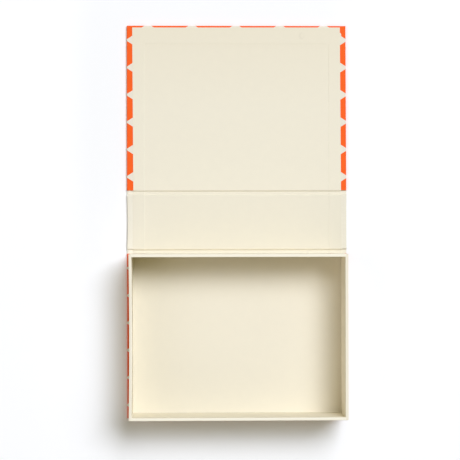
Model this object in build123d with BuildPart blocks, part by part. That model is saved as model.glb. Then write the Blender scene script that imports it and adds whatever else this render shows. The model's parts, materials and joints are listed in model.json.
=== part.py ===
from build123d import *
import os

# A cloth and paper covered box, hinged like a book and lying open flat.
# Millimetres. X runs along the spine, Y from the front of the tray towards the lid, Z up.
# The origin is the centre of the base's underside, which lies on the table at Z = 0.

# Driving sizes
inside_width = 212.2  # tray, wall to wall along the spine, so that an A5 sheet drops in
inside_depth = 159.2  # tray, wall to wall from front to rear
tray_height = 51.7  # outside of the tray, from its underside to its rim
cover_board = 2.5  # grey board of the lid, spine and base
wall_board = 2.5  # grey board of the tray's walls
floor_board = 2.5  # grey board of the tray's floor
cover_paper = 0.2  # printed paper of the lid and base
spine_cloth_thick = 0.3  # book cloth of the spine
lining_paper = 0.2  # lining sheet of the lid, spine and grooves
tray_paper = 0.2  # covering of the tray
tray_lining_paper = 0.2  # sheet on the tray's floor
square = 3.0  # how far the base and lid stand out past the tray
turn_in = 17.6  # paper and cloth folded over the edges of the boards
cloth_lap = 12.0  # spine cloth glued under the paper of the lid and base
lining_lap = 10.0  # lining glued under the rear of the tray
lap_ease = 0.4  # between that lap and the turn-ins beside it
tray_turn_in = 12.0  # tray covering folded under the tray
joint_slack = 1.5  # spare cloth in each groove, past the thickness that folds into it
closing_gap = 0.4  # between the tray and the spine and lid when the box is shut
left_margin = 5.5  # cover left bare beside the lining, at the lid's front edge
right_margin = 6.4  # the same on the right
front_margin = 1.45  # cover left bare in front of the lining
lining_drift = 1.3  # how far the lining runs off to the right from lid to tray
step_run = 1.0  # length of the lining's step over an edge that it covers
lining_ease = 0.3  # between the tray's floor lining and its walls

# Levels, from the table up
cloth_top = cover_paper + spine_cloth_thick
panel_board_top = cover_paper + cover_board
panel_top = panel_board_top + cover_paper
lid_inner_face = panel_top + lining_paper
spine_board_top = cloth_top + cover_board
spine_top = spine_board_top + spine_cloth_thick
spine_inner_face = spine_top + lining_paper

# Tray, seated on the base and flush with its rear edge
wall = wall_board + 2 * tray_paper
tray_width = inside_width + 2 * wall
tray_depth = inside_depth + 2 * wall
cover_width = tray_width + 2 * square
cover_depth = tray_depth + square
base_edge = cover_depth / 2
tray_bottom = panel_top
tray_rim = tray_bottom + tray_height
tray_floor = tray_bottom + tray_paper + floor_board
tray_y = base_edge - tray_depth / 2

# Folds: each panel turns about a line in the cloth of its groove. Turned a quarter, the spine
# stands a closing gap behind the tray, and the lid lies a closing gap above the rim.
fold_z = cover_paper + spine_cloth_thick / 2
joint_gap = spine_inner_face + joint_slack
base_to_fold = closing_gap + spine_inner_face - fold_z
fold_to_spine = joint_gap - base_to_fold
shut_lid_face = tray_rim + closing_gap
spine_width = shut_lid_face + lid_inner_face - 2 * fold_z - 2 * fold_to_spine
base_fold_y = base_edge + base_to_fold
spine_start = base_edge + joint_gap
spine_end = spine_start + spine_width
lid_fold_y = spine_end + fold_to_spine
lid_edge = spine_end + joint_gap
lid_front = lid_edge + cover_depth


def block(x_size, y_start, y_end, z_start, z_end, mode=Mode.ADD, x_middle=0):
    """Add or cut a square-edged sheet in the part that is being built."""
    with BuildSketch(Plane.XY.offset(z_start)) as outline:
        with Locations((x_middle, (y_start + y_end) / 2)):
            Rectangle(x_size, abs(y_end - y_start))
    extrude(outline.sketch, amount=z_end - z_start, mode=mode)


def finish(piece, name):
    """Label a finished piece and write it out."""
    piece.label = name
    export_step(piece, f"parts/{name}.step")
    low, high = piece.bounding_box().min, piece.bounding_box().max
    print(f"{name}: {piece.volume / 1000:.1f} cm3, z {low.Z:.2f} to {high.Z:.2f}")


def panel_paper(fold, forward):
    """Printed paper of the lid or base, folded over three edges of its board.

    fold is the panel's edge at the groove, and forward is 1 or -1, from there to its front."""
    with BuildPart() as paper:
        block(cover_width, fold, fold + forward * cover_depth, 0, panel_top)
        board_end = fold + forward * (cover_depth - cover_paper)
        board_width = cover_width - 2 * cover_paper
        block(board_width, fold, board_end, cover_paper, panel_board_top, Mode.SUBTRACT)
        window_end = fold + forward * (cover_depth - turn_in)
        window_width = cover_width - 2 * turn_in
        block(window_width, fold, window_end, panel_board_top, panel_top, Mode.SUBTRACT)
    return paper.part


def panel_board(fold, forward):
    """Grey board of the lid or base, pressed down where the spine cloth laps under it."""
    with BuildPart() as board:
        board_end = fold + forward * (cover_depth - cover_paper)
        board_width = cover_width - 2 * cover_paper
        block(board_width, fold, board_end, cover_paper, panel_board_top)
        lap_end = fold + forward * cloth_lap
        block(board_width, fold, lap_end, cover_paper, cloth_top, Mode.SUBTRACT)
    return board.part


def joint_cloth(fold, spine_side, forward):
    """Spine cloth across one groove, with its ends turned in and a lap under the panel."""
    with BuildPart() as cloth:
        block(cover_width, spine_side, fold, cover_paper, cloth_top)
        lap_width = cover_width - 2 * cover_paper
        block(lap_width, spine_side, fold + forward * cloth_lap, cover_paper, cloth_top)
        turned_x = cover_width / 2 - turn_in / 2
        turned_top = cloth_top + spine_cloth_thick
        for x in (-turned_x, turned_x):
            block(turn_in, spine_side, fold, cloth_top, turned_top, x_middle=x)
    return cloth.part


def lining_corners(y_start, y_end):
    """Corners of the lining sheet between two places along it. The sheet runs off to the right."""
    sheet_front = lid_front - front_margin
    drift = lining_drift / (sheet_front - base_edge)
    left = -cover_width / 2 + left_margin
    right = cover_width / 2 - right_margin
    corners = []
    for edge, y in ((left, y_start), (right, y_start), (right, y_end), (left, y_end)):
        corners.append((edge + drift * (sheet_front - y), y))
    return corners


def lining_stretch(y_start, y_end, low, high, mode=Mode.ADD):
    """Add or cut a stretch of the lining sheet in the part that is being built."""
    with BuildSketch(Plane.XY.offset(low)) as outline:
        Polygon(*lining_corners(y_start, y_end), align=None)
    extrude(outline.sketch, amount=high - low, mode=mode)


def stepped_lining(y_start, y_end, window_end, board_top, step):
    """Lay the lining over turned-in edges, with its middle a step lower, on the board.

    window_end is where the turned-in edge ahead begins, or y_end where there is none."""
    window_width = cover_width - 2 * turn_in
    lining_top = board_top + step + lining_paper
    lining_stretch(y_start, y_end, board_top + step, lining_top)
    block(window_width, y_start, window_end, board_top, board_top + step)
    low_end = window_end - step_run if window_end < y_end else y_end
    low_width = window_width - 2 * step_run
    block(low_width, y_start, low_end, board_top + lining_paper, lining_top, Mode.SUBTRACT)


def joint_lining(low_side, high_side, low_top, high_top):
    """Lining pressed down into one groove, with a side up each board's edge."""
    window_width = cover_width - 2 * turn_in
    turned_top = cloth_top + spine_cloth_thick
    with BuildPart() as strip:
        stepped_lining(low_side, high_side, high_side, cloth_top, spine_cloth_thick)
        low_end = low_side + lining_paper
        high_start = high_side - lining_paper
        for y_start, y_end, top in ((low_side, low_end, low_top), (high_start, high_side, high_top)):
            lining_stretch(y_start, y_end, turned_top, top)
            block(window_width, y_start, y_end, cloth_top, turned_top)
    return strip.part


os.makedirs("parts", exist_ok=True)

# Covers and boards of the lid and base
with BuildPart() as lid_cover_paper:
    add(panel_paper(lid_edge, 1))
finish(lid_cover_paper.part, "lid_cover_paper")

with BuildPart() as base_cover_paper:
    add(panel_paper(base_edge, -1))
finish(base_cover_paper.part, "base_cover_paper")

with BuildPart() as lid_board:
    add(panel_board(lid_edge, 1))
finish(lid_board.part, "lid_board")

with BuildPart() as base_board:
    add(panel_board(base_edge, -1))
finish(base_board.part, "base_board")

# Spine: board, and the cloth folded over its two ends
board_length = cover_width - 2 * spine_cloth_thick
between_turn_ins = cover_width - 2 * turn_in

with BuildPart() as spine_board:
    block(board_length, spine_start, spine_end, cloth_top, spine_board_top)
finish(spine_board.part, "spine_board")

with BuildPart() as spine_cloth:
    block(cover_width, spine_start, spine_end, cover_paper, spine_top)
    block(board_length, spine_start, spine_end, cloth_top, spine_board_top, Mode.SUBTRACT)
    block(between_turn_ins, spine_start, spine_end, spine_board_top, spine_top, Mode.SUBTRACT)
finish(spine_cloth.part, "spine_cloth")

# Grooves: the spine cloth and the lining run on across both folds
with BuildPart() as base_joint_cloth:
    add(joint_cloth(base_edge, spine_start, -1))
finish(base_joint_cloth.part, "base_joint_cloth")

with BuildPart() as lid_joint_cloth:
    add(joint_cloth(lid_edge, spine_end, 1))
finish(lid_joint_cloth.part, "lid_joint_cloth")

with BuildPart() as base_joint_lining:
    add(joint_lining(base_edge, spine_start, panel_top, spine_board_top))
    under_tray = base_edge - lining_lap
    lap_width = between_turn_ins - 2 * lap_ease
    block(lap_width, under_tray, base_edge + lining_paper, panel_board_top, panel_top)
finish(base_joint_lining.part, "base_joint_lining")

with BuildPart() as lid_joint_lining:
    add(joint_lining(spine_end, lid_edge, spine_board_top, panel_board_top))
finish(lid_joint_lining.part, "lid_joint_lining")

# Lining of the lid and spine
with BuildPart() as lid_lining:
    lining_front = lid_front - front_margin
    turned_edge = lid_front - turn_in
    stepped_lining(lid_edge, lining_front, turned_edge, panel_board_top, cover_paper)
finish(lid_lining.part, "lid_lining")

with BuildPart() as spine_lining:
    stepped_lining(spine_start, spine_end, spine_end, spine_board_top, spine_cloth_thick)
finish(spine_lining.part, "spine_lining")

# Tray: floor board inside four wall boards, the front and rear ones running the full width
board_foot = tray_bottom + tray_paper
board_rim = tray_rim - tray_paper
tray_front = tray_y - tray_depth / 2
front_inner = tray_front + tray_paper + wall_board
rear_inner = base_edge - tray_paper - wall_board
full_width = tray_width - 2 * tray_paper
side_x = tray_width / 2 - tray_paper - wall_board / 2

with BuildPart() as tray_floor_board:
    floor_width = full_width - 2 * wall_board
    block(floor_width, front_inner, rear_inner, board_foot, tray_floor)
finish(tray_floor_board.part, "tray_floor_board")

with BuildPart() as tray_front_wall:
    block(full_width, tray_front + tray_paper, front_inner, board_foot, board_rim)
finish(tray_front_wall.part, "tray_front_wall")

with BuildPart() as tray_rear_wall:
    block(full_width, rear_inner, base_edge - tray_paper, board_foot, board_rim)
finish(tray_rear_wall.part, "tray_rear_wall")

with BuildPart() as tray_left_wall:
    block(wall_board, front_inner, rear_inner, board_foot, board_rim, x_middle=-side_x)
finish(tray_left_wall.part, "tray_left_wall")

with BuildPart() as tray_right_wall:
    block(wall_board, front_inner, rear_inner, board_foot, board_rim, x_middle=side_x)
finish(tray_right_wall.part, "tray_right_wall")

# Tray covering: one strip round the outside, over the rim, down the inside and turned in below
outer_front = tray_front + tray_paper
outer_rear = base_edge - tray_paper
inside_front = tray_y - inside_depth / 2
inside_rear = tray_y + inside_depth / 2
below_width = tray_width - 2 * tray_turn_in
below_start = tray_front + tray_turn_in
below_end = base_edge - tray_turn_in

with BuildPart() as tray_wrap:
    block(tray_width, tray_front, base_edge, tray_bottom, tray_rim)
    block(full_width, outer_front, outer_rear, board_foot, board_rim, Mode.SUBTRACT)
    block(below_width, below_start, below_end, tray_bottom, board_foot, Mode.SUBTRACT)
    with BuildSketch(Plane.XY.offset(tray_floor)):
        with Locations((0, tray_y)):
            Rectangle(inside_width + 2 * tray_paper, inside_depth + 2 * tray_paper)
    extrude(amount=tray_rim - tray_floor)
    block(inside_width, inside_front, inside_rear, tray_floor, tray_rim, Mode.SUBTRACT)
finish(tray_wrap.part, "tray_wrap")

with BuildPart() as tray_floor_lining:
    sheet_width = inside_width - 2 * lining_ease
    sheet_front = inside_front + lining_ease
    sheet_rear = inside_rear - lining_ease
    block(sheet_width, sheet_front, sheet_rear, tray_floor, tray_floor + tray_lining_paper)
finish(tray_floor_lining.part, "tray_floor_lining")

print(f"cover {cover_width:.2f} x {cover_depth:.2f}, spine {spine_width:.2f}, groove {joint_gap:.2f}")
print(f"tray outside {tray_width:.2f} x {tray_depth:.2f}, rim at {tray_rim:.2f}, floor at")
print(f"{tray_floor + tray_lining_paper:.2f}, shut height {shut_lid_face + lid_inner_face:.2f}")
print(f"folds at y {base_fold_y:.3f} and {lid_fold_y:.3f}, z {fold_z:.3f}, lid front {lid_front:.2f}")
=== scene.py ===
# %% [markdown]
# # A book box, opened flat
# A book box is a paper-covered tray glued to the back of a book-like case. The case has three
# stiff panels, the lid, the spine and the base, joined by two cloth grooves that fold. The packed
# CAD model gives every size, so it is loaded first and never moved. The pieces below dress it.

# %% Load the frame
import json
import math

import bmesh
import bpy
from mathutils import Matrix, Vector


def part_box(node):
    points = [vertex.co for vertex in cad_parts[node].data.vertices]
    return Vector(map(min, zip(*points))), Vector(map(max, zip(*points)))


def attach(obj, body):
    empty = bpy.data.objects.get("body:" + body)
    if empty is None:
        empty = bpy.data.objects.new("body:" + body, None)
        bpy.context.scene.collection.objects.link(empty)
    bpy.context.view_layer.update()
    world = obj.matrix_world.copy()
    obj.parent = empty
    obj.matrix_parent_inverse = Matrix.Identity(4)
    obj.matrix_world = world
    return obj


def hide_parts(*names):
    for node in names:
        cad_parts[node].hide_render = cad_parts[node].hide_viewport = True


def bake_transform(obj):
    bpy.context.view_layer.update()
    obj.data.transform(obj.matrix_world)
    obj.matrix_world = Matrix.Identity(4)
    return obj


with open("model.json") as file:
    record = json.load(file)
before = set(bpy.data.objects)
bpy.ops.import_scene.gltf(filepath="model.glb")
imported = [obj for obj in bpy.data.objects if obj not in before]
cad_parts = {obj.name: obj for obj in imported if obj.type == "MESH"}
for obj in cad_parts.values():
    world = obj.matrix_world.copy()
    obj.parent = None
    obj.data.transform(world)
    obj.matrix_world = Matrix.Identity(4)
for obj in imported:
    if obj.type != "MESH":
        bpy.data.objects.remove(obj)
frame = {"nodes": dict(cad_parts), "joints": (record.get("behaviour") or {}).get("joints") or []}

bpy.context.view_layer.update()

# %% [markdown]
# ## Sizes in millimetres
# A bookbinder thinks in millimetres and Blender in metres, so one factor turns one into the other.
# Places come from the boxes of the CAD nodes. Only what the CAD leaves out has a size of its own
# here, such as the radius of a folded edge.

# %% Sizes
MM = 0.001


def span_of(node):
    """Lowest and highest corner of a CAD node, in millimetres."""
    low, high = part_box(node)
    return [round(v / MM, 3) for v in low], [round(v / MM, 3) for v in high]


base_low, base_high = span_of("base_cover_paper")
lid_low, lid_high = span_of("lid_cover_paper")
spine_low, spine_high = span_of("spine_cloth")
tray_low, tray_high = span_of("tray_wrap")
floor_low, floor_high = span_of("tray_floor_lining")
lining_low, lining_high = span_of("lid_lining")
half_width = base_high[0]
panel_top = base_high[2]
paper = 0.2
turn_in = 17.6
window = half_width - turn_in
base_fold = base_high[1]
lid_fold = lid_low[1]
lid_front = lid_high[1]
spine_start = spine_low[1]
spine_end = spine_high[1]
pivots = [joint["pos_m"][1] / MM for joint in frame["joints"]]
print(f"covers {2 * half_width:.1f} wide, folds at {pivots}, rim at {tray_high[2]:.1f}")

# %% [markdown]
# ## Camera
# The photograph looks straight down from about 1.7 m, with a long lens. The camera stands a little
# left of the box and aims at a point near its middle, so it leans by a degree and a half, which
# makes the left edges a touch longer than the right ones. No shift is needed.

# %% Camera
camera_place = Vector((-0.0514, 0.1048, 1.7089))
camera_aim = Vector((-0.0070, 0.1080, 0.0))
camera_roll = -0.00157


def facing(back, right):
    """The turn of a camera or lamp whose back and right-hand side point these ways."""
    right = (right - back * right.dot(back)).normalized()
    return Matrix((right, back.cross(right), back)).transposed().to_quaternion()


bpy.ops.object.select_all(action="DESELECT")
bpy.ops.object.camera_add(location=camera_place)
camera = bpy.context.object
camera.name = "studio_camera"
camera.rotation_mode = "QUATERNION"
camera.rotation_quaternion = facing(
    (camera_place - camera_aim).normalized(),
    Vector((math.cos(camera_roll), math.sin(camera_roll), 0)),
)
camera.data.sensor_width = 36
camera.data.lens = 130.81
camera.data.clip_start = 0.05
camera.data.clip_end = 20
bpy.context.scene.camera = camera
print(f"camera {camera_place.length:.2f} m away, {camera.data.lens:.1f} mm lens")

# %% [markdown]
# ## Light
# A large softbox stands to the upper right of the picture, and a wide reflector to its lower left
# fills the shadows, as in many product photographs. They are area lamps, because a lamp's size is
# what makes a shadow's edge as soft as the photograph's. Their places come from the shadows: where
# the edge of the tray's shadow is half dark, it hides half of the lamp, and the corner that sees
# neither lamp is the darkest. They are far away, so that the light is even all over.

# %% Softboxes
lamp_reach = 8.0
lamp_aim = Vector((0.0, 0.1, 0.0))


def softbox(name, way, half_size, lean, share):
    """Add a rectangular lamp that faces the box.

    way and half_size are in units of its height. share is how bright it makes a white table."""
    back = Vector((*way, 1.0)).normalized()
    bpy.ops.object.light_add(type="AREA", location=lamp_aim + lamp_reach * back)
    lamp = bpy.context.object
    lamp.name = name
    lamp.rotation_mode = "QUATERNION"
    lamp.rotation_quaternion = facing(back, Vector((math.cos(lean), math.sin(lean), 0)))
    lamp.data.shape = "RECTANGLE"
    lamp.data.size = 2 * half_size[0] * lamp_reach * back.z
    lamp.data.size_y = 2 * half_size[1] * lamp_reach * back.z**2
    lamp.data.energy = max(share) * (math.pi * lamp_reach) ** 2 / back.z
    lamp.data.color = [part / max(share) for part in share]
    print(f"{name}: {lamp.data.size:.1f} x {lamp.data.size_y:.1f} m, {lamp.data.energy:.0f} W")


softbox("large_softbox", (0.387, 0.498), (0.37, 0.329), -0.595, (0.745, 0.777, 0.868))
softbox("reflector", (-0.94, -0.342), (1.273, 0.6), 5.061, (0.216, 0.209, 0.226))

# %% [markdown]
# ## Node helpers
# The world, the table and every finish are made of shader nodes. These helpers add a node, wire
# what it is given and hand back what it puts out, so that a tree reads like a sum. `start_finish`
# begins a material.

# %% Helpers for nodes
def put(tree, value, socket):
    """Give a socket a value, or link it to another socket. A colour is three numbers."""
    if isinstance(value, bpy.types.NodeSocket):
        tree.links.new(value, socket)
    else:
        socket.default_value = (*value, 1.0) if socket.type == "RGBA" else value


def add_node(tree, kind, given=(), **settings):
    """Add a node with its settings, fill the given inputs and hand back its outputs."""
    node = tree.nodes.new(kind)
    for name, value in settings.items():
        setattr(node, name, value)
    for label, value in dict(given).items():
        put(tree, value, node.inputs[label])
    return node.outputs


def work_out(tree, operation, *values):
    """Add a Math node and give back its output."""
    return add_node(tree, "ShaderNodeMath", enumerate(values), operation=operation)[0]


def vector_out(tree, operation, first, second=None):
    """Add a Vector Math node and give back its output."""
    given = {0: first}
    if second is not None:
        given["Scale" if operation == "SCALE" else 1] = second
    outputs = add_node(tree, "ShaderNodeVectorMath", given, operation=operation)
    return outputs["Value" if operation == "LENGTH" else "Vector"]


def parts_of(tree, vector):
    """Split a vector in its three parts."""
    return add_node(tree, "ShaderNodeSeparateXYZ", {0: vector})


def blend_between(tree, share, first, second):
    """A value that goes from first to second with a share."""
    given = {0: share, 2: first, 3: second}
    return add_node(tree, "ShaderNodeMix", given, data_type="FLOAT")[0]


def mix_in(tree, share, first, second):
    """A colour that goes from first to second with a share."""
    given = {"Factor": share, "A": first, "B": second}
    return add_node(tree, "ShaderNodeMix", given, data_type="RGBA")["Result"]


def ramp(tree, value, start, end, low=0.0, high=1.0, smooth_ends=True):
    """Map a value from one range to another, and keep it inside."""
    kind = "SMOOTHSTEP" if smooth_ends else "LINEAR"
    given = enumerate((value, start, end, low, high))
    return add_node(tree, "ShaderNodeMapRange", given, interpolation_type=kind)["Result"]


def noise(tree, vector, scale, detail=2.0, rough=0.5, warp=0.0):
    """Add a noise texture and give back its value."""
    given = dict(Vector=vector, Scale=scale, Detail=detail, Roughness=rough, Distortion=warp)
    return add_node(tree, "ShaderNodeTexNoise", given)["Fac"]


def object_place(tree):
    """Where a point is on the object, in metres."""
    return add_node(tree, "ShaderNodeTexCoord")["Object"]


def start_finish(name, rough, specular=0.3, sheen=0.0):
    """Begin a material and give it back with its tree and its shader's inputs."""
    material = bpy.data.materials.new(name)
    material.use_nodes = True
    sockets = material.node_tree.nodes["Principled BSDF"].inputs
    sockets["Roughness"].default_value = rough
    sockets["Specular IOR Level"].default_value = specular
    sockets["Sheen Weight"].default_value = sheen
    return material, material.node_tree, sockets


print("node helpers ready")

# %% [markdown]
# ## Room
# The room is the world's colour: weak, warm light that reaches where the lamps don't. Light Path's
# rays let the camera see white there.

# %% Room
world = bpy.data.worlds.new("room")
bpy.context.scene.world = world
world.use_nodes = True
world_tree = world.node_tree
world_tree.nodes.clear()


def seen_directly(tree):
    """A value that is 1 for what the camera, a mirror or glass sees, and 0 for light on the box."""
    path = add_node(tree, "ShaderNodeLightPath")
    either = work_out(tree, "MAXIMUM", path["Is Camera Ray"], path["Is Glossy Ray"])
    return work_out(tree, "MAXIMUM", either, path["Is Transmission Ray"])


room_light = (0.138, 0.124, 0.05)
room_colour = mix_in(world_tree, seen_directly(world_tree), room_light, (1, 1, 1))
room = add_node(world_tree, "ShaderNodeBackground", {"Color": room_colour})
add_node(world_tree, "ShaderNodeOutputWorld", {"Surface": room[0]})

bpy.context.scene.view_settings.view_transform = "Standard"
print("room light", room_light)

# %% [markdown]
# ## Table
# The table is plain and pale. To the camera it is white, and it keeps the shadow of the box. Away
# from the box, past its shadows, a faint glow that only the camera sees makes it as white as the
# photograph's. The light that it throws back on the box is a little less than white.

# %% Table
bpy.ops.mesh.primitive_plane_add(size=8, location=(0, 0, -0.00002))
table = bpy.context.object
table.name = "table"
table_paint, tree, sockets = start_finish("table_paint", rough=1.0, specular=0.0)
seen = seen_directly(tree)
bright_side = 25
shadow_end, all_bright = 0.03, 0.075
seen_white, thrown_back = (1.0, 1.0, 1.0), (0.8, 0.8, 0.79)
dark, faint = (0, 0, 0), (0.05, 0.05, 0.055)
put(tree, mix_in(tree, seen, thrown_back, seen_white), sockets["Base Color"])
spread = ((half_width - bright_side) * MM, (lid_front - base_low[1]) / 2 * MM, 1.0)
centre = (-bright_side * MM, (lid_front + base_low[1]) / 2 * MM, 0.0)
outside = vector_out(tree, "SUBTRACT", object_place(tree), centre)
outside = vector_out(tree, "SUBTRACT", vector_out(tree, "ABSOLUTE", outside), spread)
outside = vector_out(tree, "MAXIMUM", outside, (0.0, 0.0, 0.0))
glow = ramp(tree, vector_out(tree, "LENGTH", outside), shadow_end, all_bright)
glow = mix_in(tree, work_out(tree, "MULTIPLY", glow, seen), dark, faint)
put(tree, glow, sockets["Emission Color"])
put(tree, 1.0, sockets["Emission Strength"])
table.data.materials.append(table_paint)
print("table laid")

# %% [markdown]
# ## Modelling helpers
# Each piece starts as a primitive and is shaped in edit mode. An operator works on what is
# selected, so `pick` selects faces, edges or vertices by their place in millimetres, and `cut`
# adds an edge loop where a plane crosses the picked faces.

# %% Helpers for shaping
AXES = {"x": Vector((1, 0, 0)), "y": Vector((0, 1, 0)), "z": Vector((0, 0, 1))}
KINDS = {"verts": "VERT", "edges": "EDGE", "faces": "FACE"}


def start_piece(name, low, high):
    """Add a cube that fills a box given in millimetres, or a plane where the box is flat."""
    bpy.ops.object.select_all(action="DESELECT")
    flat = low[2] == high[2]
    add = bpy.ops.mesh.primitive_plane_add if flat else bpy.ops.mesh.primitive_cube_add
    add(size=1, location=[MM * (a + b) / 2 for a, b in zip(low, high)])
    piece = bpy.context.object
    piece.scale = [MM * (b - a) or 1 for a, b in zip(low, high)]
    bpy.ops.object.transform_apply(location=True, rotation=True, scale=True)
    piece.name = name
    piece.data.name = name
    bpy.ops.object.mode_set(mode="EDIT")
    return piece


def pick(piece, kind, wanted):
    """Select the verts, edges or faces whose middle, in millimetres, is wanted, and count them."""
    bpy.ops.mesh.select_mode(type=KINDS[kind])
    bpy.ops.mesh.select_all(action="DESELECT")
    mesh = bmesh.from_edit_mesh(piece.data)
    found = 0
    for item in getattr(mesh, kind):
        corners = [item.co] if kind == "verts" else [v.co for v in item.verts]
        if wanted(sum(corners, Vector()) / len(corners) / MM, item):
            item.select_set(True)
            found += 1
    mesh.select_flush_mode()
    bmesh.update_edit_mesh(piece.data)
    return found


def everything(middle, item):
    """What pick wants when all of a piece is to be selected."""
    return True


def cut(piece, axis, places, wanted=everything):
    """Add an edge loop across the wanted faces at each place along an axis."""
    for place in places:
        pick(piece, "faces", wanted)
        bpy.ops.mesh.bisect(plane_co=AXES[axis] * place * MM, plane_no=AXES[axis], threshold=1e-7)


def drop(piece, kind, wanted):
    """Delete the wanted faces, edges or verts."""
    if pick(piece, kind, wanted):
        bpy.ops.mesh.delete(type=KINDS[kind])


def round_off(piece, wanted, size, steps):
    """Bevel the wanted edges, by a size in millimetres."""
    pick(piece, "edges", wanted)
    bpy.ops.mesh.bevel(offset=size * MM, segments=steps, affect="EDGES")


def move(x=0, y=0, z=0):
    """Move what is selected, in millimetres."""
    bpy.ops.transform.translate(value=(x * MM, y * MM, z * MM))


def pull_out(kind, x=0, y=0, z=0):
    """Extrude the selected edges or region, in millimetres."""
    extrude = getattr(bpy.ops.mesh, f"extrude_{kind}_move")
    extrude(TRANSFORM_OT_translate={"value": (x * MM, y * MM, z * MM)})


def along(item, axis):
    """True if an edge runs along an axis."""
    run = (item.verts[1].co - item.verts[0].co).normalized()
    return abs(run.dot(AXES[axis])) > 0.99


def near(value, *places):
    """True if a value lies within a hundredth of a millimetre of one of the places."""
    return any(abs(value - place) < 0.01 for place in places)


def folds(degrees):
    """What pick wants when the edges that turn by more than an angle are to be selected."""

    def turns(middle, edge):
        inside = len(edge.link_faces) == 2
        return inside and edge.calc_face_angle() > math.radians(degrees)

    return turns


def leave(piece):
    """Leave edit mode, with the piece selected and active."""
    bpy.ops.object.mode_set(mode="OBJECT")
    bpy.ops.object.select_all(action="DESELECT")
    piece.select_set(True)
    bpy.context.view_layer.objects.active = piece


def apply(piece, kind, **settings):
    """Add a modifier with its settings and apply it."""
    modifier = piece.modifiers.new(kind.lower(), kind)
    for name, value in settings.items():
        setattr(modifier, name, value)
    bpy.ops.object.modifier_apply(modifier=modifier.name)


def thicken(piece, sheet):
    """Give a sheet its thickness, in millimetres, on its inner side."""
    apply(piece, "SOLIDIFY", thickness=sheet * MM, offset=-1, use_even_offset=True)


def report(piece):
    """Print what a piece is made of."""
    places = [vertex.co / MM for vertex in piece.data.vertices]
    low, high = ([round(end(p[i] for p in places), 2) for i in range(3)] for end in (min, max))
    print(f"{piece.name}: {len(piece.data.polygons)} faces, {low} to {high}")


def smooth(piece, weigh=True):
    """Shade a piece smooth across its rounded edges only, and report it."""
    bpy.ops.object.shade_smooth_by_angle(angle=math.radians(35))
    if weigh:
        apply(piece, "WEIGHTED_NORMAL", keep_sharp=True, weight=100)
    report(piece)


def push(piece, axis, distance, share):
    """Move points along an axis, by a distance in millimetres times share(place)."""
    group = piece.vertex_groups.new(name="share")
    for vertex in piece.data.vertices:
        weight = share(vertex.co / MM)
        if weight > 0:
            group.add([vertex.index], min(weight, 1), "REPLACE")
    apply(
        piece, "DISPLACE", direction=axis.upper(), vertex_group="share", mid_level=0,
        strength=distance * MM,
    )
    piece.vertex_groups.remove(piece.vertex_groups["share"])


def hill(value, middle, reach):
    """A smooth hill, 1 at the middle and 0 past its reach."""
    away = min(abs(value - middle) / reach, 1)
    return (1 - away * away) ** 2


def lay_out(piece, name, on_sheet):
    """Write each corner's place on its flat sheet to the UV map, in metres."""
    mesh = piece.data
    layer = mesh.uv_layers.active or mesh.uv_layers.new(name=name)
    layer.name = name
    for face in mesh.polygons:
        for loop in face.loop_indices:
            corner = mesh.vertices[mesh.loops[loop].vertex_index].co
            layer.data[loop].uv = on_sheet(corner, face)


def stiff_piece(name, low, high, edge, rows=(), levels=(), lean=0, share=None):
    """Model a board or sheet as a block with softened edges, which may lean along X."""
    piece = start_piece(name, low, high)
    round_off(piece, everything, edge, 2)
    cut(piece, "y", rows)
    cut(piece, "z", levels)
    leave(piece)
    if lean:
        push(piece, "x", lean, share)
    smooth(piece)
    return piece


print("helpers ready")

# %% [markdown]
# ## Covers of the lid and base
# A printed paper is glued on the outside of each board, folded round three edges and turned in by
# 17.6 mm. It is modelled as a box as large as the covered board. The face at the groove and the
# middle of the inner face are deleted, the folded edges are rounded with bevel, and solidify gives
# the paper its thickness. The fourth edge stays open, because there the spine cloth runs under the
# paper.

# %% Cover papers
edge_round = 0.45
sheet_shift = 0.87
side_pull = (0.13, 1.02)
front_pull = 1.14
panel_depth = lid_front - lid_fold


def unrolled(half, across, height):
    """How far a point of the folded paper was from the middle of the flat sheet."""
    straight = half - edge_round
    if across < straight and height < panel_top / 2:
        return across
    arc = math.pi / 2 * edge_round
    if height < edge_round:
        lean = math.atan2(across - straight, edge_round - height)
        return straight + edge_round * lean
    top_round = panel_top - edge_round
    if height <= top_round:
        return straight + arc + height - edge_round
    rise = straight + arc + top_round - edge_round
    if across >= straight:
        return rise + edge_round * math.atan2(height - top_round, across - straight)
    return rise + arc + straight - across


def map_paper(piece, fold, forward, slip):
    """Unfold a cover's paper for its pattern.

    slip is how much further from the groove than it should the sheet was laid, in millimetres."""

    def on_paper(corner, face):
        middle, place = face.center / MM, corner / MM
        from_side = half_width - abs(middle.x)
        from_front = panel_depth - forward * (middle.y - fold)
        u, v = place.x, forward * (place.y - fold)
        if from_side < from_front:
            pulled = side_pull[0 if middle.x < 0 else 1]
            u = math.copysign(unrolled(half_width, abs(u), place.z) - pulled, middle.x)
        else:
            v = unrolled(panel_depth, v, place.z) - (front_pull if middle.z > 0.01 else 0)
        return (u + sheet_shift) * MM, (v - slip) * MM

    lay_out(piece, "paper", on_paper)


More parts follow.
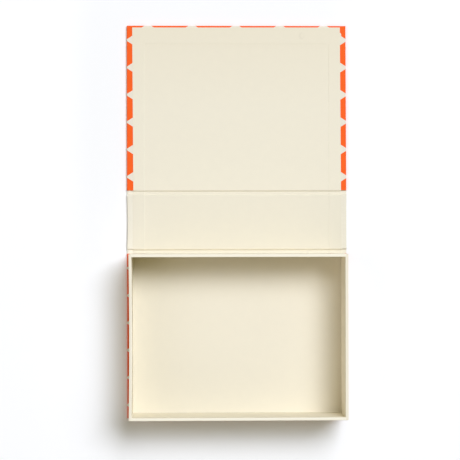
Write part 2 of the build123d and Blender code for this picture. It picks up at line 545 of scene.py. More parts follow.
def cover_panel(name, fold, forward, slip):
    """Fold the printed paper round three edges of a panel. forward is 1 or -1, from the groove."""
    front = fold + forward * panel_depth
    low = (-half_width, min(fold, front), 0)
    high = (half_width, max(fold, front), panel_top)
    piece = start_piece(name, low, high)
    inner = front - forward * turn_in

    def on_top(middle, face):
        return middle.z > panel_top - 0.01

    def behind(middle):
        return forward * (inner - middle.y) > 0

    cut(piece, "x", (-window, window), on_top)
    cut(piece, "y", (inner,), on_top)
    for side in (-1, 1):

        def in_corner(middle, face):
            beside = middle.x * side > window
            return on_top(middle, face) and beside and not behind(middle)

        pick(piece, "faces", in_corner)
        slant = Vector((side, -forward, 0)).normalized()
        corner = Vector((side * half_width, front, 0)) * MM
        bpy.ops.mesh.bisect(plane_co=corner, plane_no=slant, threshold=1e-7)
    drop(piece, "faces", lambda middle, face: near(middle.y, fold))

    def in_window(middle, face):
        return on_top(middle, face) and abs(middle.x) < window and behind(middle)

    def folded(middle, edge):
        rim = near(abs(middle.x), half_width) or near(middle.y, front)
        return rim and (near(middle.z, 0, panel_top) or along(edge, "z")) and not edge.is_boundary

    drop(piece, "faces", in_window)
    round_off(piece, folded, edge_round, 4)
    leave(piece)
    map_paper(piece, fold, forward, slip)
    thicken(piece, paper)
    smooth(piece)
    return piece


lid_paper = cover_panel("lid_paper", lid_fold, 1, -0.1)
base_paper = cover_panel("base_paper", base_fold, -1, 0.75)

# %% [markdown]
# The lid was cut by hand, and it is 0.6 mm narrower at the right of its front edge. The paper and
# the board inside it lean in by the same amount, so the board is modelled again as a copy that
# fits.

# %% Lid, narrower at its front right
lid_lean = 0.6
board_edge = 0.1


def right_lean(place):
    """How far along the lid from the groove a point of its right edge is, and 0 elsewhere."""
    share = (place.y - lid_fold) / panel_depth
    return share if place.x > half_width - 1.5 else 0


leave(lid_paper)
push(lid_paper, "x", -lid_lean, right_lean)
lid_panel_board = stiff_piece(
    "lid_panel_board", *span_of("lid_board"), board_edge, lean=-lid_lean, share=right_lean
)

# %% [markdown]
# ## Spine cloth
# One strip of book cloth makes the spine and both grooves, with its two ends folded in. It is
# modelled once: a low block as wide as the case, whose top is extruded up where the spine board
# lies under it. Bevel rounds every fold, the middle of the inner face is deleted, and the two laps
# under the papers are extruded from its ends. Then it is cut into three, because the two grooves
# bend.

# %% Spine cloth, whole
cloth = 0.15
cloth_low = spine_low[2]
groove_cloth = 1.5
cloth_round = 0.27
cloth_slope = 1.0
lap_ends = (span_of("base_joint_cloth")[0][1], span_of("lid_joint_cloth")[1][1])
bend_near, bend_far = 0.8, 3.2
bend_loops = 11
waist_rows = [spine_start + 6 * n for n in range(1, 9)]


def bend_span(fold):
    """Where the bend of a groove starts and ends. It reaches furthest away from the spine."""
    if fold == 0:
        return pivots[0] - bend_far, pivots[0] + bend_near
    return pivots[1] - bend_near, pivots[1] + bend_far


def bend_lines():
    """Where the edge loops lie that let a sheet bend in both grooves."""
    lines = []
    for fold in (0, 1):
        start, end = bend_span(fold)
        lines += [start + (end - start) * n / (bend_loops - 1) for n in range(bend_loops)]
    return lines


block_start, block_end = base_fold + cloth, lid_fold - cloth
rise_start, rise_end = spine_start - cloth, spine_end + cloth
whole_cloth = start_piece(
    "spine_cloth_whole",
    (-half_width, block_start, cloth_low),
    (half_width, block_end, groove_cloth),
)


def upper(middle, face):
    return near(middle.z, groove_cloth)


def over_board(middle, face):
    return upper(middle, face) and rise_start < middle.y < rise_end


def under_lining(middle, face):
    return abs(middle.x) < window and middle.z > cloth_low + 0.02


cut(whole_cloth, "y", (rise_start, rise_end), upper)
pick(whole_cloth, "faces", over_board)
pull_out("region", z=spine_high[2] - groove_cloth)
for foot, slope in ((rise_start, -cloth_slope), (rise_end, cloth_slope)):
    pick(whole_cloth, "verts", lambda place, v: upper(place, v) and near(place.y, foot))
    move(y=slope)
drop(whole_cloth, "faces", lambda middle, face: near(middle.y, block_start, block_end))
round_off(whole_cloth, folds(30), cloth_round, 4)
cut(whole_cloth, "x", (-window, window), lambda middle, face: middle.z > groove_cloth - 0.02)
drop(whole_cloth, "faces", under_lining)
leave(whole_cloth)
report(whole_cloth)

# %% Laps of the cloth, and its walls up the edges of the lid and base boards
spine_waist = 0.75
waist_reach = 34
swell = 0.2
neck_length = 0.2
narrower = (half_width - 0.3) / half_width


def free_edge(y, z):
    """What pick wants when the open edge along X at a place is to be selected."""

    def is_there(middle, edge):
        there = near(middle.y, y) and near(middle.z, z)
        return there and edge.is_boundary and along(edge, "x")

    return is_there


bpy.ops.object.mode_set(mode="EDIT")
for end, lap_end in zip((block_start, block_end), lap_ends):
    neck = math.copysign(neck_length, lap_end - end)
    for at, step, width in ((end, neck, narrower), (end + neck, lap_end - end - neck, 1)):
        pick(whole_cloth, "edges", free_edge(at, cloth_low))
        pull_out("edges", y=step)
        bpy.ops.transform.resize(value=(width, 1, 1), center_override=(0, 0, 0))
    pick(whole_cloth, "edges", free_edge(end, groove_cloth))
    pull_out("edges", z=panel_top - paper - groove_cloth)
cut(whole_cloth, "y", bend_lines() + waist_rows)
leave(whole_cloth)
report(whole_cloth)


def waist(place):
    """The spine is drawn in at its left end, most halfway between the grooves."""
    drawn_in = hill(place.y, (spine_start + spine_end) / 2, waist_reach)
    return drawn_in if place.x < -half_width + 1.5 else 0


def swelling(place):
    """The doubled cloth swells a little at the right ends of the grooves."""
    at_groove = max(hill(place.y, lid_fold - 2, 14), 0.6 * hill(place.y, base_fold + 2, 12))
    return at_groove if place.x > half_width - 0.6 else 0


push(whole_cloth, "x", spine_waist, waist)
push(whole_cloth, "x", swell, swelling)
thicken(whole_cloth, cloth)

# %% [markdown]
# ## Cutting a strip at the grooves
# The grooves fold, so a strip that crosses them is copied, each copy is cut on both sides with
# bisect, and the cut ends are closed. The cuts lie 3 mm inside the spine and the lid, where nothing
# bends, so they don't show.

# %% Cut the spine cloth in three
seam = 3.0


def cut_out(whole, name, start, end):
    """Copy a strip and keep only what lies between two places along Y, in millimetres."""
    leave(whole)
    bpy.ops.object.duplicate()
    piece = bpy.context.object
    piece.name = name
    piece.data.name = name
    bpy.ops.object.mode_set(mode="EDIT")
    for place, clear in ((start, "clear_inner"), (end, "clear_outer")):
        if place is None:
            continue
        pick(piece, "faces", everything)
        bpy.ops.mesh.bisect(
            plane_co=(0, place * MM, 0), plane_no=(0, 1, 0), use_fill=True, threshold=1e-7,
            **{clear: True},
        )
    leave(piece)
    return piece


def cut_up(whole, names, seams):
    """Cut a strip at its seams into named pieces, and shade them. The strip itself goes."""
    pieces = [cut_out(whole, *row) for row in zip(names, (None, *seams), (*seams, None))]
    bpy.data.objects.remove(whole)
    for piece in pieces:
        leave(piece)
        smooth(piece, weigh=False)
    return pieces


seams = (spine_start + seam, spine_end - seam)
cloth_names = ("base_groove_cloth", "spine_book_cloth", "lid_groove_cloth")
cloth_pieces = cut_up(whole_cloth, cloth_names, seams)
base_groove_cloth, spine_cloth, lid_groove_cloth = cloth_pieces

# %% Spine board, drawn in like its cloth
spine_panel_board = stiff_piece(
    "spine_panel_board", *span_of("spine_board"), board_edge, waist_rows, lean=spine_waist,
    share=waist,
)

# %% [markdown]
# ## Lining
# One sheet of cream paper lines the lid, the grooves and the spine, and its end is glued under the
# tray. It is drawn as the binder lays it: an edge is extruded step by step along the boards, down
# into each groove and up again. It runs off to the right by 1 mm. Then its middle is lowered where
# no folded-in edge lies under it, which makes the faint lines of the photograph, and the folds are
# rounded.

# %% Lining, whole
lining_front = lining_high[1] - 0.1
front_skew = 0.3
drift = (span_of("base_joint_lining")[0][0] - lining_low[0]) / (lining_high[1] - spine_start)
front_right = lining_high[0] - drift * (lining_high[1] - lid_fold)
lid_level = lining_high[2]
spine_level = span_of("spine_lining")[1][2]
groove_level = groove_cloth + paper + 0.05
wall_gap = 0.3
tray_side_gap = 0.55
slope_run = 1.1
lid_slope = 0.8
step_run = 0.5
front_run = 1.2
soft = 0.25
spine_drop = 0.1
lining_round = 0.6
fold_gap = 0.8
turned_front = lid_front - turn_in
lap_start = span_of("base_joint_lining")[0][1]
route = [
    (lid_fold - wall_gap, lid_level),
    (lid_fold - wall_gap - lid_slope, groove_level),
    (spine_end + wall_gap, groove_level),
    (spine_end + wall_gap, spine_level),
    (spine_start - tray_side_gap, spine_level),
    (spine_start - tray_side_gap - slope_run, groove_level),
    (base_fold + wall_gap, groove_level),
    (base_fold + wall_gap, panel_top),
    (lap_start, panel_top),
]

start_y = route[0][0]
whole_lining = start_piece(
    "lining_whole", (lining_low[0], start_y, lid_level), (front_right, lining_front, lid_level)
)
pick(whole_lining, "edges", lambda middle, edge: near(middle.y, start_y))
move(x=drift * (lining_front - start_y))
for (last_y, last_z), (next_y, next_z) in zip(route, route[1:]):
    pull_out("edges", drift * (last_y - next_y), next_y - last_y, next_z - last_z)
pick(whole_lining, "verts", lambda place, vertex: near(place.y, lining_front) and place.x < 0)
move(y=-front_skew)
for side in (-1, 1):
    cut(whole_lining, "x", [side * (window + d) for d in (soft, 0, -step_run, -step_run - soft)])
front_rows = [turned_front + d for d in (soft, 0, -front_run, -front_run - soft)]
cut(whole_lining, "y", front_rows, lambda middle, face: middle.z > lid_level - 0.01)
report(whole_lining)


# %% Lower the middle of the lining, and round its folds
def lower(distance, wanted):
    """Lower the lining where it is wanted and no folded-in edge lies under it."""

    def in_window(place, vertex):
        beside = abs(place.x) < window - step_run + 0.01
        return beside and place.y < turned_front - front_run + 0.01 and wanted(place)

    pick(whole_lining, "verts", in_window)
    move(z=-distance)


def on_spine_board(place):
    """True between the grooves, and in them below the tops of the panels."""
    in_groove = place.y > spine_end + 1 or place.y < spine_start - 1
    at_panel = in_groove and place.z > panel_top - 0.21
    return base_fold < place.y < lid_fold and place.z > groove_level and not at_panel


def on_lap(middle, face):
    return middle.y < base_fold and middle.z > 2


lower(paper, lambda place: place.y >= base_fold + 1)
lower(spine_drop, on_spine_board)
lower(paper, lambda place: place.y < base_fold + 1 and place.z < 2)
lap_half = window - 0.4
cut(whole_lining, "x", (-lap_half, lap_half), on_lap)
drop(whole_lining, "faces", lambda middle, face: on_lap(middle, face) and abs(middle.x) > lap_half)
round_off(whole_lining, folds(45), lining_round, 5)
cut(whole_lining, "y", bend_lines())
fold_rows = (lid_fold + fold_gap, spine_end - fold_gap, spine_start + fold_gap)
cut(whole_lining, "y", fold_rows, lambda middle, face: middle.z > 2)
leave(whole_lining)
report(whole_lining)


def left_of_spine(place):
    """Over the spine, the left edge of the lining lies a little further out."""
    on_spine = lid_fold - 1.5 > place.y > base_fold + 1
    return 1 if on_spine and place.x < -window - 1 else 0


push(whole_lining, "x", -0.8, left_of_spine)
thicken(whole_lining, paper)

# %% Cut the lining in four
lining_names = ("base_groove_lining", "spine_lining_sheet", "lid_groove_lining", "lid_lining_sheet")
lining_pieces = cut_up(whole_lining, lining_names, (*seams, lid_fold + seam))
base_groove_lining, spine_lining_sheet, lid_groove_lining, lid_lining_sheet = lining_pieces

# %% [markdown]
# ## Tray covering
# The tray is four walls and a floor of grey board, covered by one strip of paper that goes up the
# outside, over the rim and down the inside. A block as large as the tray is inset by one wall on
# top and extruded down, so that it becomes a tray. The floor and the middle of its underside are
# deleted, and every folded edge gets a small bevel.

# %% Tray covering
wall = tray_high[0] - floor_high[0] - 0.3
wall_lean = 0.65
foot_width = 12
lap_rise = 0.12
lap_width = 10
tray_round = 0.4
tray_middle = (tray_low[1] + tray_high[1]) / 2
rim = tray_high[2]
wall_rows = [tray_middle + 13 * n for n in range(-6, 7)]
wall_levels = [rim - 8 * n for n in range(1, 6)]
tray_covering = start_piece("tray_covering", tray_low, tray_high)
pick(tray_covering, "faces", lambda middle, face: near(middle.z, rim))
bpy.ops.mesh.inset(thickness=wall * MM)
pull_out("region", z=floor_low[2] - rim)
bpy.ops.mesh.delete(type="FACE")
pick(tray_covering, "faces", lambda middle, face: near(middle.z, tray_low[2]))
bpy.ops.mesh.inset(thickness=foot_width * MM)
bpy.ops.mesh.delete(type="FACE")
round_off(tray_covering, folds(45), tray_round, 4)
cut(tray_covering, "y", wall_rows)
cut(tray_covering, "z", wall_levels)

# %% The covering's lap, its bow and its thickness
lap_x = tray_high[0] - lap_width
rear = tray_high[1]


def in_lap(place, vertex):
    return place.y > rear - 0.42 and place.x > lap_x - 0.01 and place.z < rim - 0.2


cut(tray_covering, "x", (lap_x - 0.1, lap_x), lambda middle, face: middle.y > rear - 0.3)
pick(tray_covering, "verts", in_lap)
move(y=lap_rise)
leave(tray_covering)


def rim_bow(place):
    """The left wall leans in along its rim, most halfway along, and not at all at its foot."""
    height = max(place.z - tray_low[2], 0) / (rim - tray_low[2])
    away = (place.y - tray_middle) / (tray_high[1] - tray_middle)
    return max(1 - away * away, 0) * height**1.5 if place.x < -100 else 0


push(tray_covering, "x", wall_lean, rim_bow)
thicken(tray_covering, paper)
smooth(tray_covering)

# %% Left wall board, bowed like its covering, and the sheet on the tray's floor
floor_reach = 0.25
wall_edge, sheet_edge = 0.08, 0.06
left_wall_board = stiff_piece(
    "left_wall_board", *span_of("tray_left_wall"), wall_edge, wall_rows, wall_levels, wall_lean,
    rim_bow,
)
tray_floor_sheet = stiff_piece(
    "tray_floor_sheet",
    (floor_low[0] - floor_reach, floor_low[1] - floor_reach, floor_low[2]),
    (floor_high[0] + floor_reach, floor_high[1] + floor_reach, floor_high[2]),
    sheet_edge,
)

# %% [markdown]
# ## What moves with what
# Each piece outside the grooves rides on the CAD body that it belongs to. The cloth and lining in
# the two grooves keep their places baked into their meshes. Every CAD node that a piece stands for
# is hidden.

# %% Ride, and hide the CAD nodes
grooves = {"base groove": ("base", "spine", 0), "lid groove": ("spine", "lid", 1)}
for piece, body, node, finish in (
    (lid_paper, "lid", "lid_cover_paper", "lozenge_paper"),
    (base_paper, "base", "base_cover_paper", "lozenge_paper"),
    (spine_cloth, "spine", "spine_cloth", "cream_book_cloth"),
    (lid_lining_sheet, "lid", "lid_lining", "cream_lining_paper"),
    (spine_lining_sheet, "spine", "spine_lining", "cream_lining_paper"),
    (tray_covering, "base", "tray_wrap", "cream_tray_paper"),
    (tray_floor_sheet, "base", "tray_floor_lining", "cream_tray_paper"),
    (left_wall_board, "base", "tray_left_wall", "grey_board"),
    (lid_panel_board, "lid", "lid_board", "grey_board"),
    (spine_panel_board, "spine", "spine_board", "grey_board"),
    (base_groove_cloth, "base groove", "base_joint_cloth", "cream_book_cloth"),
    (lid_groove_cloth, "lid groove", "lid_joint_cloth", "cream_book_cloth"),
    (base_groove_lining, "base groove", "base_joint_lining", "cream_lining_paper"),
    (lid_groove_lining, "lid groove", "lid_joint_lining", "cream_lining_paper"),
):
    if body in grooves:
        first, second, fold = grooves[body]
        start, end = bend_span(fold)
        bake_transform(piece)
    else:
        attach(piece, body)
    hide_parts(node)

# %% [markdown]
# ## Where a pattern lies
# A weave or a fibre has to follow the sheet round its folds and through a bend. So each thin piece
# gets a UV map that holds its corners' places in metres, taken along the way that each face looks,
# before anything bends. The maps are in metres, so every size in a finish is a real one.

# %% Lay the sheets out
def along_face(corner, face):
    """A corner's place on a sheet that lies along the way its face looks."""
    lean = [abs(part) for part in face.normal]
    return [part for axis, part in enumerate(corner) if axis != lean.index(max(lean))]


for piece in (*lining_pieces, *cloth_pieces, tray_covering, tray_floor_sheet):
    lay_out(piece, "sheet", along_face)
print("sheets laid out")

# %% [markdown]
# ## Effects that several finishes share
# The real box shows fine threads in its cloth and its tray paper, soft fibres in its papers, faint
# clouds of colour in all of them, and paler paper where hands rub the folds. Each of these is a
# node group with named inputs and outputs, built once and placed in a material with its own
# values.

# %% Helpers for node groups
def start_group(name, inputs, outputs):
    """Begin a node group. inputs are names with a value, and outputs names with a kind."""
    tree = bpy.data.node_groups.new(name, "ShaderNodeTree")
    kinds = {float: "NodeSocketFloat", tuple: "NodeSocketVector", str: "NodeSocketColor"}
    for label, value in inputs.items():
        socket = tree.interface.new_socket(label, in_out="INPUT", socket_type=kinds[type(value)])
        if value != "colour":
            socket.default_value = value
    for label, kind in outputs.items():
        tree.interface.new_socket(label, in_out="OUTPUT", socket_type=f"NodeSocket{kind}")
    return tree, add_node(tree, "NodeGroupInput"), tree.nodes.new("NodeGroupOutput").inputs


print("group helpers ready")

# %% [markdown]
# A plain weave is a chess board of crowns: in one square a warp thread lies on top, in the next a
# weft thread. Two sine waves, one thread apart, give the threads, and the chess board picks which
# is on top. The lines wander a little, as hand-woven or embossed threads do.

# %% Weave group
weave, given, result = start_group(
    "woven_threads",
    {"Vector": (0.0, 0.0, 0.0), "Thread": 0.0004, "Wander": 0.3},
    {"Height": "Float", "Tone": "Float"},
)
per_thread = work_out(weave, "DIVIDE", 1.0, given["Thread"])
threads = vector_out(weave, "SCALE", given["Vector"], per_thread)
swing = work_out(weave, "SUBTRACT", noise(weave, given["Vector"], 250.0), 0.5)
moved_by = work_out(weave, "MULTIPLY", swing, given["Wander"])
wandered = vector_out(weave, "ADD", threads, vector_out(weave, "SCALE", (1.0, -0.7, 0.0), moved_by))
across, along_it = parts_of(weave, wandered)[:2]
waves, rows = [], []
for place in (across, along_it):
    wave = work_out(weave, "SINE", work_out(weave, "MULTIPLY", place, math.pi))
    waves.append(work_out(weave, "ABSOLUTE", wave))
    rows.append(work_out(weave, "FLOOR", place))
square = work_out(weave, "PINGPONG", work_out(weave, "ADD", *rows), 1.0)
crowns = [
    work_out(weave, "MULTIPLY", waves[n], work_out(weave, "SQRT", waves[1 - n])) for n in (0, 1)
]
put(weave, blend_between(weave, square, *crowns), result["Height"])
tones = [
    add_node(weave, "ShaderNodeTexWhiteNoise", {"W": row}, noise_dimensions="1D")["Value"]
    for row in rows
]
put(weave, blend_between(weave, square, *tones), result["Tone"])
print("woven_threads:", len(weave.nodes), "nodes")

# %% [markdown]
# Paper is felted fibre. Two noises, each drawn out one way, cross like fibres do. A much larger
# noise gives the clouds that a sheet shows against the light.

# %% Fibre group
fibres, given, result = start_group(
    "paper_fibres",
    {"Vector": (0.0, 0.0, 0.0), "Fibre": 0.001},
    {"Height": "Float", "Cloud": "Float"},
)
per_fibre = work_out(fibres, "DIVIDE", 1.0, given["Fibre"])
felt = []
for draw in ((3.0, 1.0, 3.0), (1.0, 3.0, 3.0)):
    drawn = vector_out(fibres, "MULTIPLY", given["Vector"], draw)
    felt.append(noise(fibres, drawn, per_fibre, 4.0, 0.6, 0.4))
height = work_out(fibres, "MULTIPLY", work_out(fibres, "ADD", *felt), 0.5)
put(fibres, height, result["Height"])
per_cloud = work_out(fibres, "MULTIPLY", per_fibre, 0.12)
put(fibres, noise(fibres, given["Vector"], per_cloud, 3.0, 0.55), result["Cloud"])
print("paper_fibres:", len(fibres.nodes), "nodes")

# %% [markdown]
# Rubbing pales the folded edges. On a rounded fold the surface looks between two of the box's main
# directions, so the largest part of its normal is well below 1 there. Noise breaks the mask up.

# %% Edge wear group
wear, given, result = start_group("edge_wear", {"Spread": 0.3, "Broken": 0.5}, {"Mask": "Float"})
where = add_node(wear, "ShaderNodeTexCoord")
looks = parts_of(wear, vector_out(wear, "ABSOLUTE", where["Normal"]))
largest = work_out(wear, "MAXIMUM", work_out(wear, "MAXIMUM", looks[0], looks[1]), looks[2])
turned = work_out(wear, "SUBTRACT", 1.0, largest)
edge = ramp(wear, turned, 0.02, given["Spread"])
patches = ramp(wear, noise(wear, where["Object"], 160.0, 4.0, 0.6), 0.35, 0.6)
kept = work_out(wear, "SUBTRACT", 1.0, given["Broken"])
patchy = blend_between(wear, patches, kept, 1.0)
put(wear, work_out(wear, "MULTIPLY", edge, patchy), result["Mask"])
print("edge_wear:", len(wear.nodes), "nodes")

# %% [markdown]
# `tinted` makes a colour a little lighter or darker with a mask, and `spot` is a soft round mask
# at a place, for a mark or a nick that the photograph shows at one place only.

# %% Tint and spot groups
tint, given, result = start_group(
    "tinted", {"Colour": "colour", "Share": 0.5, "Strength": 0.02}, {"Colour": "Color"}
)
off_middle = work_out(tint, "SUBTRACT", given["Share"], 0.5)
level = work_out(tint, "ADD", work_out(tint, "MULTIPLY", off_middle, given["Strength"]), 1.0)
put(tint, vector_out(tint, "SCALE", given["Colour"], level), result["Colour"])

spot, given, result = start_group(
    "spot",
    {"Centre": (0.0, 0.0, 0.0), "Half Size": (1.0, 1.0, 1.0), "Softness": 0.3},
    {"Mask": "Float"},
)
away = vector_out(spot, "SUBTRACT", object_place(spot), given["Centre"])
reach = vector_out(spot, "LENGTH", vector_out(spot, "DIVIDE", away, given["Half Size"]))
inner = work_out(spot, "SUBTRACT", 1.0, given["Softness"])
outer = work_out(spot, "ADD", 1.0, given["Softness"])
fade = ramp(spot, reach, inner, outer)
put(spot, work_out(spot, "SUBTRACT", 1.0, fade), result["Mask"])
print("tinted:", len(tint.nodes), "nodes, spot:", len(spot.nodes), "nodes")

# %% [markdown]
# Harlequin lozenges are an old trade pattern. Folded back on itself by ping-pong, one corner of a
# lozenge's box is enough: the sum of how far a point is along each side tells which lozenge it is
# in.

# %% Lozenge group
harlequin, given, result = start_group(
    "harlequin", {"Vector": (0.0, 0.0, 0.0), "Column": 0.04, "Row": 0.03, "Bleed": 0.003},
    {"Mask": "Float"},
)
steps = []
for part, size, start in zip(parts_of(harlequin, given["Vector"]), ("Column", "Row"), (0.5, 0.0)):
    cells = work_out(harlequin, "ADD", work_out(harlequin, "DIVIDE", part, given[size]), start)
    steps.append(work_out(harlequin, "PINGPONG", cells, 0.5))
total = work_out(harlequin, "ADD", *steps)
low_side = work_out(harlequin, "SUBTRACT", 0.5, given["Bleed"])
high_side = work_out(harlequin, "ADD", 0.5, given["Bleed"])
put(harlequin, ramp(harlequin, total, low_side, high_side, smooth_ends=False), result["Mask"])
print("harlequin:", len(harlequin.nodes), "nodes")

# %% [markdown]
# ## Finishes
# Every finish starts the same way: a Principled shader with its plain values on its own sockets.
# Then its groups feed the base colour, the roughness and a bump.

# %% Helpers for finishes
def use(tree, group, **values):
    """Place a node group in a material with its own values. Give back its outputs."""
    given = {label.replace("_", " "): value for label, value in values.items()}
    return add_node(tree, "ShaderNodeGroup", given, node_tree=group)


def tone(tree, colour, share, strength):
    """A colour made a little lighter or darker with a share."""
    return use(tree, tint, Colour=colour, Share=share, Strength=strength)["Colour"]


def laid_at(tree, uv_map):
    """Where a point is on its flat sheet, in metres."""
    return add_node(tree, "ShaderNodeUVMap", uv_map=uv_map)[0]


def raise_surface(tree, sockets, height, depth, strength):
    """Feed a height through a bump, over the one before it. depth is its full height in metres."""
    given = {"Strength": strength, "Distance": depth, "Height": height}
    for link in sockets["Normal"].links:
        given["Normal"] = link.from_socket
    put(tree, add_node(tree, "ShaderNodeBump", given)[0], sockets["Normal"])


def paint(pieces, material):
    """Give pieces one material."""
    for piece in pieces:
        piece.data.materials.clear()
        piece.data.materials.append(material)
    print(f"{material.name} on {len(pieces)} pieces")


print("finish helpers ready")

# %% [markdown]
# ### Cream lining paper
# The lining is a smooth uncoated paper. Against the light it shows clouds a few millimetres wide,
# under one percent strong. It has one faint grey scuff near its front edge, and towards that edge
# it is a little darker and yellower. From the lid's groove on, and more across the spine, it is
# painted a shade deeper: painted shade. On the lid, the paste under its sides swells it a little
# over the folded-in edges, which a bump adds to their step.

# %% Lining paper
lining_cream = (0.874, 0.816, 0.661)
scuff_grey = (0.80, 0.745, 0.60)
unchanged, yellower = (1.0, 1.0, 1.0), (0.973, 0.96, 0.938)
lining_paper, tree, sockets = start_finish("cream_lining_paper", 0.82)
laid = laid_at(tree, "sheet")
grain = use(tree, fibres, Vector=laid, Fibre=0.0011)
clouded = tone(tree, lining_cream, grain["Cloud"], 0.035)
scuff = use(
    tree, spot, Centre=(0.0662, 0.3062, 0.003), Half_Size=(0.0028, 0.0037, 0.01), Softness=0.25
)
scuff_ring = use(
    tree, spot, Centre=(0.0672, 0.3067, 0.003), Half_Size=(0.0014, 0.0022, 0.01), Softness=0.4
)
ring = work_out(tree, "SUBTRACT", scuff["Mask"], scuff_ring["Mask"])
ring = work_out(tree, "MULTIPLY", ring, 0.5)
scuffed = mix_in(tree, ring, clouded, scuff_grey)
laid_x, laid_y = parts_of(tree, laid)[:2]
# A little darker and yellower towards the lid's front edge.
front_tint = ramp(tree, laid_y, (lid_front - 85) * MM, lid_front * MM, smooth_ends=False)
front_tint = mix_in(tree, front_tint, unchanged, yellower)
lining_colour = vector_out(tree, "MULTIPLY", scuffed, front_tint)
# Painted shade: a shade deeper from the lid's groove on, and deeper again across the spine.
for start, end in ((lid_fold, lid_fold - 3), (spine_end, spine_start)):
    painted_shade_share = ramp(tree, laid_y, start * MM, end * MM, 0.5, 0.0)
    lining_colour = tone(tree, lining_colour, painted_shade_share, 0.06)
put(tree, lining_colour, sockets["Base Color"])
put(tree, ramp(tree, grain["Cloud"], 0.3, 0.7, 0.78, 0.88), sockets["Roughness"])
raise_surface(tree, sockets, grain["Height"], 0.00003, 0.5)
over_left = ramp(tree, laid_x, (step_run - window) * MM, (-window - 2) * MM)
over_right = ramp(tree, laid_x, (window - step_run) * MM, window * MM)
over_sides = work_out(tree, "MAXIMUM", over_left, over_right)
past_groove = ramp(tree, laid_y, lid_fold * MM, (lid_fold + 4) * MM)
over_sides = work_out(tree, "MULTIPLY", over_sides, past_groove)
over_front = ramp(tree, laid_y, (turned_front - 6) * MM, turned_front * MM)
raise_surface(tree, sockets, work_out(tree, "MAXIMUM", over_sides, over_front), 0.00008, 1.0)
paint(lining_pieces, lining_paper)

# %% [markdown]
# ### Cream book cloth
# Book cloth is a fine cotton, about 24 threads to the centimetre, with a soft sheen. Its threads
# are not dyed quite alike, and the low parts between them are painted a little darker: painted
# shade. The left end of the spine is paler, which shows beside the lining.

# %% Book cloth
cloth_cream = (0.862, 0.81, 0.665)
left_end_cream = (0.905, 0.85, 0.71)
book_cloth, tree, sockets = start_finish("cream_book_cloth", 0.86, 0.25, 0.1)
laid = laid_at(tree, "sheet")
woven = use(tree, weave, Vector=laid, Thread=0.00042, Wander=0.5)
clouds = use(tree, fibres, Vector=laid, Fibre=0.0015)
dyed = tone(tree, cloth_cream, woven["Tone"], 0.05)
clouded = tone(tree, dyed, clouds["Cloud"], 0.05)
# Painted shade: the low parts of the weave are a little darker.
between = tone(tree, clouded, woven["Height"], 0.08)
across = parts_of(tree, object_place(tree))[0]
left_end = ramp(tree, across, (12 - half_width) * MM, (5 - half_width) * MM)
pale = work_out(tree, "MULTIPLY", left_end, ramp(tree, clouds["Cloud"], 0.3, 0.6, 0.6, 1.0))
put(tree, mix_in(tree, pale, between, left_end_cream), sockets["Base Color"])
put(tree, ramp(tree, woven["Height"], 0.0, 1.0, 0.92, 0.8), sockets["Roughness"])
raise_surface(tree, sockets, woven["Height"], 0.00006, 0.5)
paint(cloth_pieces, book_cloth)

# %% [markdown]
# ### Tray paper
# The tray's paper has a fine embossed weave, and the hollows of the weave are painted a little
# darker: painted shade. The long sides of the rim are a shade whiter than the walls: a ramp on
# height pales the top of them, a painted highlight. The floor is painted a shade deeper at its
# front left: painted shade.

# %% Tray paper
tray_cream = (0.866, 0.803, 0.646)
painted_rim_highlight = (0.98, 0.925, 0.765)
shade = (0.935, 0.94, 0.945)
tray_paper, tree, sockets = start_finish("cream_tray_paper", 0.8)
laid = laid_at(tree, "sheet")
woven = use(tree, weave, Vector=laid, Thread=0.00055, Wander=0.6)
grain = use(tree, fibres, Vector=laid, Fibre=0.0012)
clouded = tone(tree, tray_cream, grain["Cloud"], 0.035)
# Painted shade: the hollows of the embossed weave are a little darker.
emboss_shaded = tone(tree, clouded, woven["Height"], 0.03)
# Painted shade: a soft patch on the front left of the floor is a shade deeper.
painted_floor_shade = use(
    tree, spot, Centre=(-0.06, -0.075, 0.006), Half_Size=(0.09, 0.045, 0.004), Softness=0.9
)
deeper = vector_out(tree, "MULTIPLY", emboss_shaded, shade)
toned = mix_in(tree, painted_floor_shade["Mask"], emboss_shaded, deeper)
where = parts_of(tree, object_place(tree))
# Painted highlight: the top of the long sides of the rim is paler.
rim_highlight_mask = ramp(tree, where[2], (rim - 0.6) * MM, (rim - 0.15) * MM)
from_middle = work_out(tree, "ABSOLUTE", where[0])
long_sides = ramp(tree, from_middle, floor_high[0] * MM, (floor_high[0] + 1.5) * MM, 1.0, 0.25)
rim_highlight_mask = work_out(tree, "MULTIPLY", rim_highlight_mask, long_sides)
rubbed = use(tree, wear, Spread=0.3, Broken=0.5)
# pale is the painted rim highlight together with real wear on the folded edges.
pale = work_out(tree, "MAXIMUM", rim_highlight_mask, work_out(tree, "MULTIPLY", rubbed["Mask"], 0.4))
put(tree, mix_in(tree, pale, toned, painted_rim_highlight), sockets["Base Color"])
put(tree, ramp(tree, grain["Cloud"], 0.3, 0.7, 0.76, 0.86), sockets["Roughness"])
raise_surface(tree, sockets, woven["Height"], 0.00004, 0.4)
paint((tray_covering, tray_floor_sheet), tray_paper)

# %% [markdown]
# ### Lozenge paper
# Orange ink on cream stock. The ink lies unevenly, so it has clouds and tiny pinholes, and the
# folds wear through to a paler orange. A nick at the lining's edge shows the stock near the front
# corner.

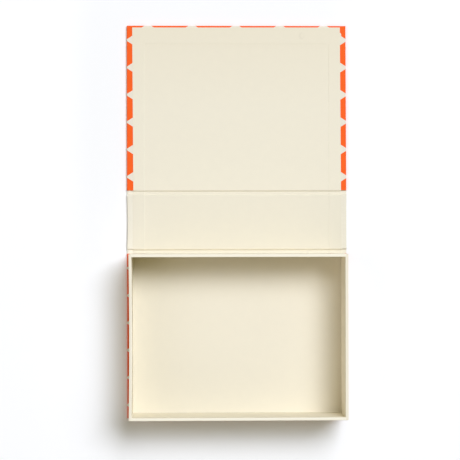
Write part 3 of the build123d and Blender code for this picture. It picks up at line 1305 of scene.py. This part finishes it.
# %% Lozenge paper
orange_ink = (0.975, 0.122, 0.010)
stock_cream = (0.85, 0.79, 0.665)
pinhole_orange = (0.93, 0.42, 0.2)
worn_orange = (0.93, 0.6, 0.42)
lozenge_paper, tree, sockets = start_finish("lozenge_paper", 0.68, 0.2)
laid = laid_at(tree, "paper")
lozenges = use(tree, harlequin, Vector=laid, Column=0.04485, Row=0.0279, Bleed=0.003)
grain = use(tree, fibres, Vector=laid, Fibre=0.0009)
inked = tone(tree, orange_ink, grain["Cloud"], 0.12)
bare = tone(tree, stock_cream, grain["Cloud"], 0.04)
pinholes = ramp(tree, noise(tree, laid, 1800.0, 2.0, 0.7), 0.7, 0.76, 0.0, 0.25)
inked = mix_in(tree, pinholes, inked, pinhole_orange)
nick = use(
    tree, spot, Centre=(0.1058, 0.3072, 0.003), Half_Size=(0.0012, 0.0022, 0.0015), Softness=0.2
)
unprinted = work_out(tree, "MAXIMUM", lozenges["Mask"], nick["Mask"])
printed = mix_in(tree, unprinted, inked, bare)
rubbed = use(tree, wear, Spread=0.3, Broken=0.8)
pale = work_out(tree, "MULTIPLY", rubbed["Mask"], 0.05)
put(tree, mix_in(tree, pale, printed, worn_orange), sockets["Base Color"])
put(tree, blend_between(tree, unprinted, 0.64, 0.76), sockets["Roughness"])
raise_surface(tree, sockets, grain["Height"], 0.00002, 0.5)
paint((lid_paper, base_paper), lozenge_paper)

# %% [markdown]
# ### Grey board
# The boards are covered all over, but a library part may be opened up, so they get the look of raw
# grey board too: flecked pulp, with the plies showing as fine lines along their edges.

# %% Grey board
board_grey = (0.43, 0.40, 0.36)
fleck_grey = (0.26, 0.24, 0.22)
grey_board, tree, sockets = start_finish("grey_board", 0.92, 0.2)
where = object_place(tree)
pulp = use(tree, fibres, Vector=where, Fibre=0.0014)
flecks = ramp(tree, noise(tree, where, 900.0, 3.0, 0.7), 0.6, 0.7)
plies = work_out(tree, "SINE", work_out(tree, "MULTIPLY", parts_of(tree, where)[2], 14000.0))
clouded = tone(tree, board_grey, pulp["Cloud"], 0.25)
layered = tone(tree, clouded, plies, 0.04)
put(tree, mix_in(tree, flecks, layered, fleck_grey), sockets["Base Color"])
raise_surface(tree, sockets, pulp["Height"], 0.00006, 0.7)
boards = [node for name, node in frame["nodes"].items() if name.endswith(("_board", "_wall"))]
paint([*boards, left_wall_board, lid_panel_board, spine_panel_board], grey_board)

# %% [markdown]
# ## The book cloth
# The book cloth is the one woven sheet. It is glued flat, so it is stretched over the boards: its
# flat width is the case's width with a turn-in at both ends, and its length runs along Y. The
# script ends by bringing the scene up to date.

bpy.context.view_layer.update()
